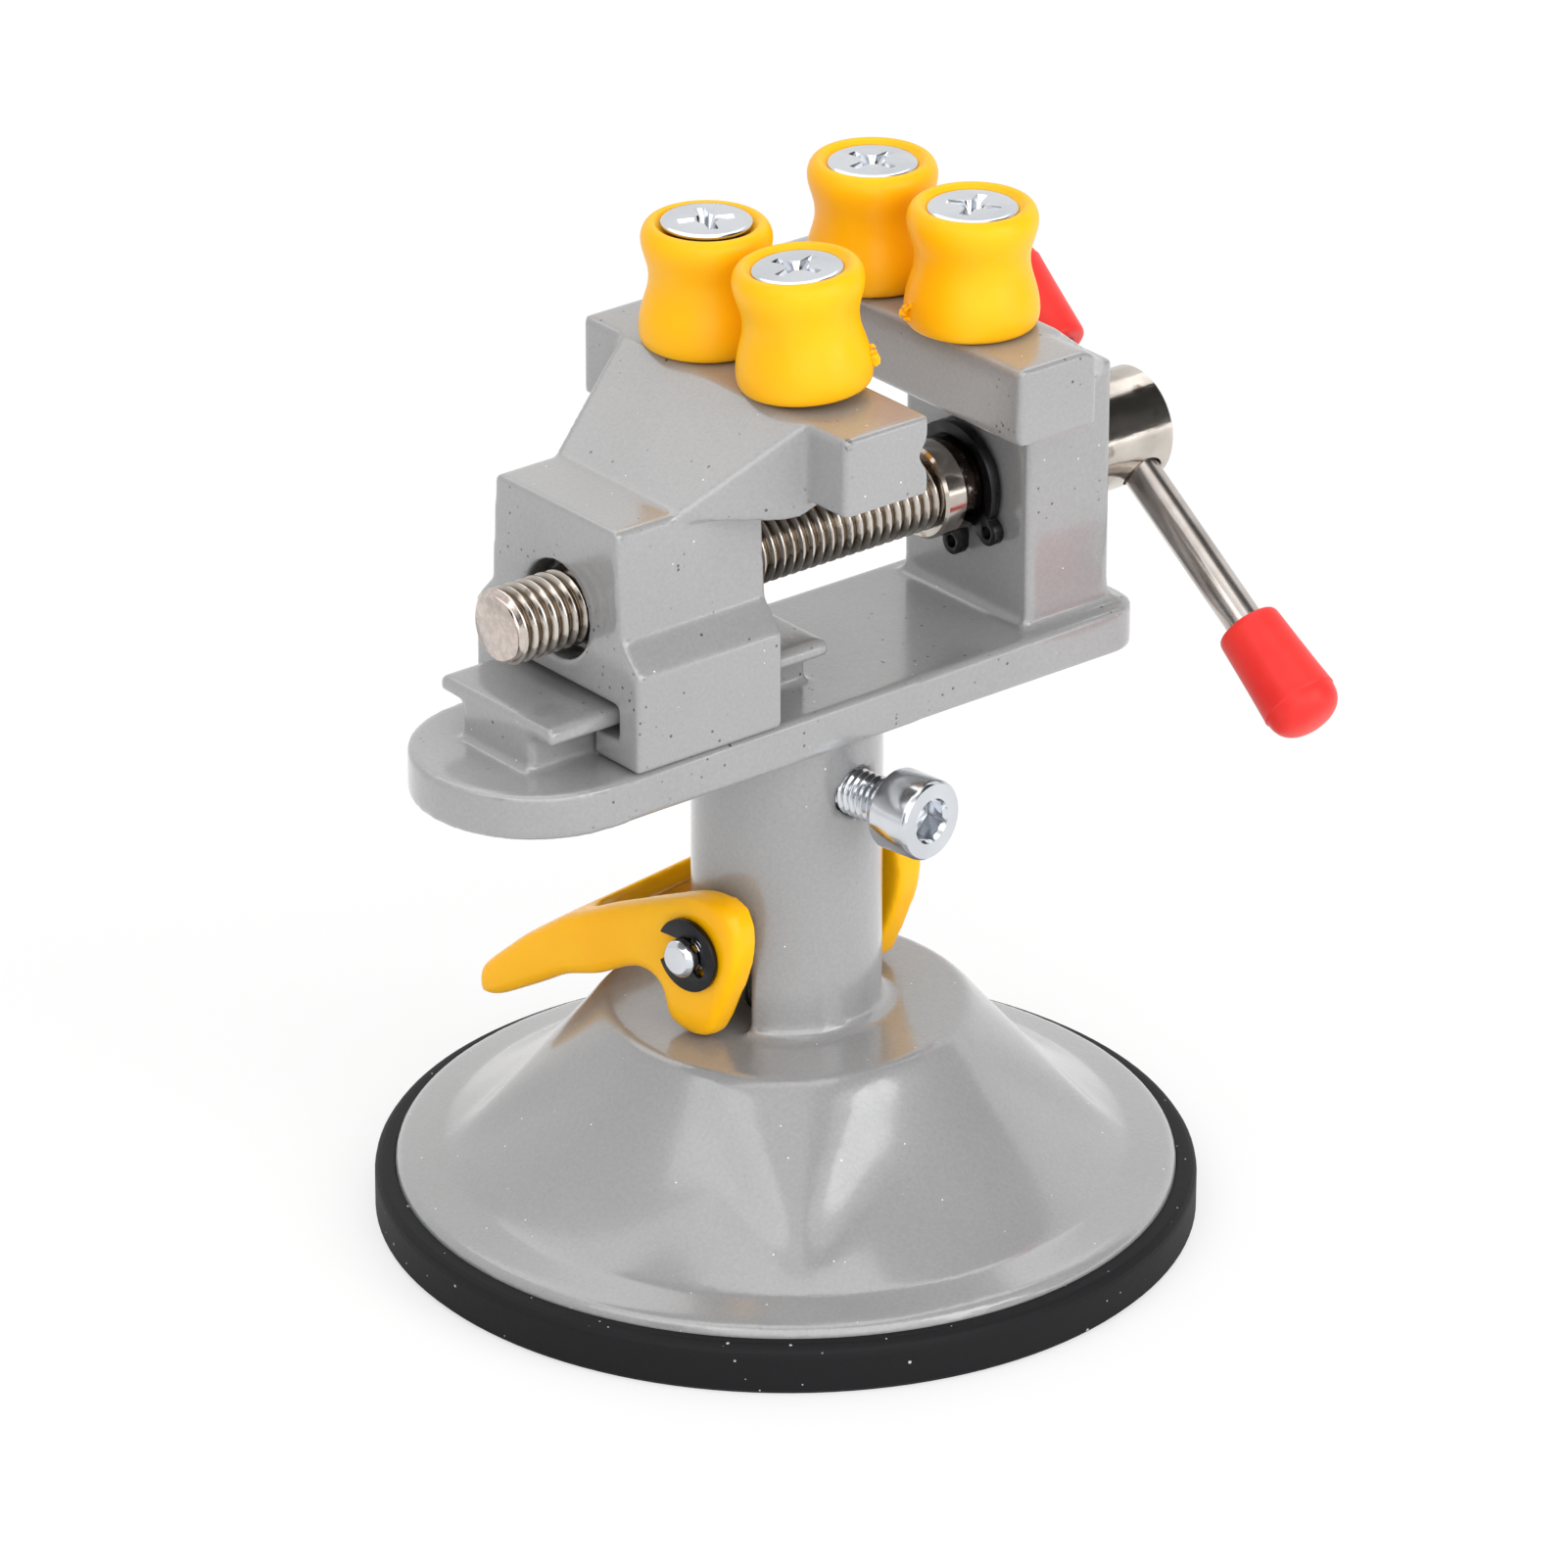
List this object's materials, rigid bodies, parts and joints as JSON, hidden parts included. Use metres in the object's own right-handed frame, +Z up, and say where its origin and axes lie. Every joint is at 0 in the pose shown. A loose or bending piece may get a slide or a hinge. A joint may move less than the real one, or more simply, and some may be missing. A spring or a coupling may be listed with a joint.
{
  "type": "suction base vise",
  "caption": "Small bench vise with four bobbin jaws on a swivelling post, held down by a lever-locked suction base.",
  "frame": {"origin": "on the column's axis, in the plane of the rubber cup's foot", "axes": "+Z up along the column, +X along the lead screw towards its handle, -Y towards the clamp screw's side"},
  "size_m": [0.0919, 0.085, 0.109],
  "materials": {
    "base_casting": "gloss paint with fine pits",
    "vise_frame": "gloss paint with fine pits",
    "movable_jaw": "gloss paint with fine pits",
    "suction_cup": "matte",
    "pull_stem": "turned steel",
    "return_spring": "spring wire",
    "lever_pin": "zinc plated",
    "pin_clips": "black oxide",
    "cam_lever": "gloss",
    "clamp_screw": "zinc plated",
    "lead_screw": "nickel plated",
    "retaining_ring": "black oxide",
    "tommy_bar": "nickel plated",
    "bar_caps": "soft dipped",
    "bobbins": "satin gloss",
    "bobbin_screws": "zinc plated"
  },
  "bodies": {
    "base": {"base_casting": "base_casting", "suction_cup": "suction_cup", "return_spring": "return_spring"},
    "stem": {"pull_stem": "pull_stem", "lever_pin": "lever_pin", "pin_clip_near": "pin_clips", "pin_clip_far": "pin_clips"},
    "lever": {"cam_lever": "cam_lever"},
    "clamp": {"clamp_screw": "clamp_screw"},
    "head": {"vise_frame": "vise_frame", "fixed_bobbin_near": "bobbins", "fixed_bobbin_far": "bobbins", "fixed_bobbin_screws": "bobbin_screws"},
    "jaw": {"movable_jaw": "movable_jaw", "movable_bobbin_near": "bobbins", "movable_bobbin_far": "bobbins", "movable_bobbin_screws": "bobbin_screws"},
    "screw": {"lead_screw": "lead_screw", "retaining_ring": "retaining_ring"},
    "bar": {"tommy_bar": "tommy_bar", "bar_cap_near": "bar_caps", "bar_cap_far": "bar_caps"}
  },
  "joints": [
    {"name": "stem_lift", "type": "slide", "parent": "base", "child": "stem", "axis": [0, 0, 1], "range_m": [-0.002, 0], "deforming": ["return_spring", "suction_cup"]},
    {"name": "lever_swing", "type": "hinge", "parent": "stem", "child": "lever", "pos_m": [0, 0, 0.0333], "axis": [0.9903, 0.1392, 0], "range_deg": [0, 65]},
    {"name": "clamp_turn", "type": "hinge", "parent": "base", "child": "clamp", "pos_m": [0, 0, 0.0496], "axis": [0.1392, -0.9903, 0], "range_deg": [0, 360]},
    {"name": "head_swivel", "type": "hinge", "parent": "base", "child": "head", "pos_m": [0, 0, 0.056], "axis": [0, 0, 1], "continuous": true},
    {"name": "screw_spin", "type": "hinge", "parent": "head", "child": "screw", "pos_m": [0, 0, 0.0751], "axis": [-1, 0, 0], "range_deg": [-3459, 2106]},
    {"name": "jaw_slide", "type": "slide", "parent": "head", "child": "jaw", "axis": [1, 0, 0], "range_m": [-0.01201, 0.00731]},
    {"name": "bar_slide", "type": "slide", "parent": "screw", "child": "bar", "axis": [0, -0.8241, -0.5664], "range_m": [-0.0197, 0.0042]}
  ],
  "couplings": [
    {"joint": "lever_swing", "follows": "stem_lift", "rad_per_m": -567.23},
    {"joint": "screw_spin", "follows": "jaw_slide", "rad_per_m": 5026.5}
  ]
}
